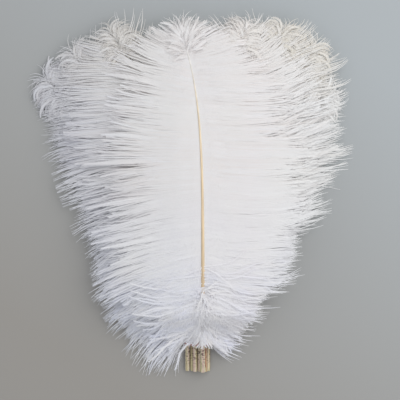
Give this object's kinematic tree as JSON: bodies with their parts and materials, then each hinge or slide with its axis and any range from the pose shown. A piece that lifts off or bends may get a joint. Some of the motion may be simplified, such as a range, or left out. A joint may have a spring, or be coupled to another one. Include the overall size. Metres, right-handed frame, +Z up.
{
  "type": "bunch of ostrich feathers",
  "caption": "Tied bunch of white ostrich plumes lying flat, with soft drooping barbs, cream shafts and bare quill ends.",
  "frame": {"origin": "on the surface that the bunch lies on, under the middle of its outline", "axes": "+Y from the cut quill ends towards the tips, +Z up out of the surface, +X to the right as seen from above"},
  "size_m": [0.3085, 0.347, 0.0421],
  "materials": {
    "plume": "soft white ostrich barbs, matte, with a slight silky sheen",
    "quill": "cream to tan keratin, smooth and slightly glossy, with dark specks near the cut ends",
    "tie": "faded red cotton thread, matte"
  },
  "bodies": {
    "root": {"plume_front": "plume", "plume_left_inner": "plume", "plume_left_middle": "plume", "plume_left_outer": "plume", "plume_right_inner": "plume", "plume_right_middle": "plume", "plume_right_outer": "plume", "plume_right_edge": "plume", "plume_back": "plume", "tie": "tie"}
  },
  "joints": []
}
